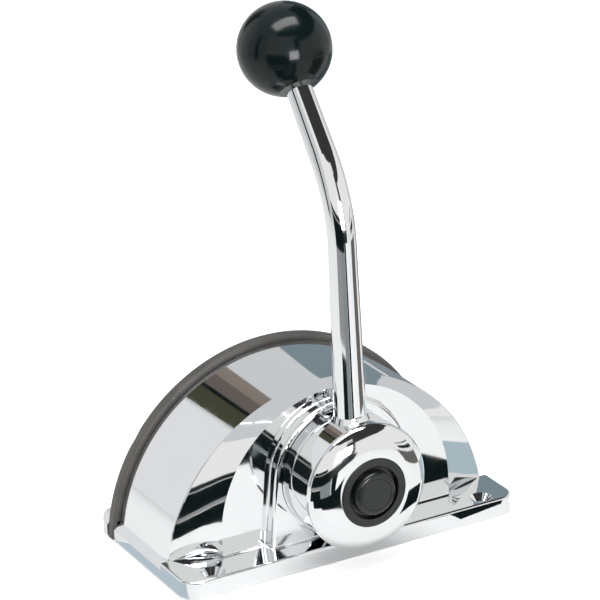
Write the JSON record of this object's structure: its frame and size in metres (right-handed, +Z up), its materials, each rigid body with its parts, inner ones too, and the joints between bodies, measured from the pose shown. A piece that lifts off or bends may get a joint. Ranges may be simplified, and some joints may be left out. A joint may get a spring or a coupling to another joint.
{
  "type": "boat throttle control lever",
  "caption": "Top-mount boat throttle and shift control: bent chrome lever with ball knob and push button on a half-drum housing, with geared shift arm and throttle arm inside.",
  "frame": {"origin": "centre of the four deck screw holes, on the flat underside of the flange", "axes": "+X along the boat (the lever's swing direction), +Y towards the closed back of the housing, away from the hub, +Z up along the lever at neutral"},
  "size_m": [0.2036, 0.1324, 0.2919],
  "materials": {
    "housing": "mirror bright",
    "rear_cover": "satin",
    "cover_screws": "blackened",
    "lever_hub": "mirror bright",
    "lever_rod": "mirror bright",
    "grub_screws": "black oxide",
    "knob": "high gloss",
    "knob_insert": "machined",
    "hub_bezel": "satin",
    "push_button": "satin",
    "button_disc": "gloss",
    "button_spring": "zinc plated",
    "clutch_rod": "zinc plated",
    "pivot_shaft": "ground",
    "front_bush": "moulded nylon",
    "rear_bush": "moulded nylon",
    "drive_gear": "zinc plated",
    "shift_arm": "zinc plated",
    "shift_pin": "zinc plated",
    "shift_pin_clip": "phosphated",
    "detent_disc": "zinc plated",
    "detent_leaf": "spring steel",
    "detent_screw": "zinc plated",
    "throttle_arm": "zinc plated",
    "shaft_circlip": "phosphated",
    "throttle_cable_pin": "ground",
    "shift_cable_pin": "ground",
    "friction_pad": "brake fabric",
    "friction_screw": "zinc plated",
    "friction_nut": "zinc plated",
    "cable_saddles": "zinc plated",
    "saddle_screws": "zinc plated",
    "neutral_switch": "moulded",
    "switch_plunger": "moulded",
    "switch_screws": "zinc plated",
    "switch_terminals": "tinned"
  },
  "bodies": {
    "base": {"housing": "housing", "rear_cover": "rear_cover", "cover_screws": "cover_screws", "front_bush": "front_bush", "rear_bush": "rear_bush", "shift_pin": "shift_pin", "shift_pin_clip": "shift_pin_clip", "detent_leaf": "detent_leaf", "detent_screw": "detent_screw", "friction_pad": "friction_pad", "friction_screw": "friction_screw", "friction_nut": "friction_nut", "cable_saddles": "cable_saddles", "saddle_screws": "saddle_screws", "neutral_switch": "neutral_switch", "switch_screws": "switch_screws", "switch_terminals": "switch_terminals"},
    "lever": {"lever_hub": "lever_hub", "lever_rod": "lever_rod", "knob": "knob", "knob_insert": "knob_insert", "hub_bezel": "hub_bezel", "button_spring": "button_spring", "grub_screws": "grub_screws", "pivot_shaft": "pivot_shaft", "drive_gear": "drive_gear", "detent_disc": "detent_disc", "throttle_arm": "throttle_arm", "shaft_circlip": "shaft_circlip", "throttle_cable_pin": "throttle_cable_pin"},
    "button": {"push_button": "push_button", "button_disc": "button_disc", "clutch_rod": "clutch_rod"},
    "shift": {"shift_arm": "shift_arm", "shift_cable_pin": "shift_cable_pin"},
    "plunger": {"switch_plunger": "switch_plunger"}
  },
  "joints": [
    {"name": "lever_swing", "type": "hinge", "parent": "base", "child": "lever", "pos_m": [0, 0, 0.0454], "axis": [0, 1, 0], "range_deg": [-75, 75], "deforming": ["detent_leaf"]},
    {"name": "button_press", "type": "slide", "parent": "lever", "child": "button", "axis": [0, 1, 0], "range_m": [0, 0.004], "stiffness_N_per_m": 600, "springref_m": -0.003, "deforming": ["button_spring"]},
    {"name": "shift_swing", "type": "hinge", "parent": "base", "child": "shift", "pos_m": [-0.03949, 0, 0.0311], "axis": [0, 1, 0], "range_deg": [-38, 38]},
    {"name": "plunger_press", "type": "slide", "parent": "base", "child": "plunger", "axis": [1, 0, 0], "range_m": [0, 0.0015], "stiffness_N_per_m": 150, "springref_m": -0.001}
  ],
  "couplings": [
    {"joint": "shift_swing", "follows": "lever_swing", "ratio": -0.5}
  ]
}
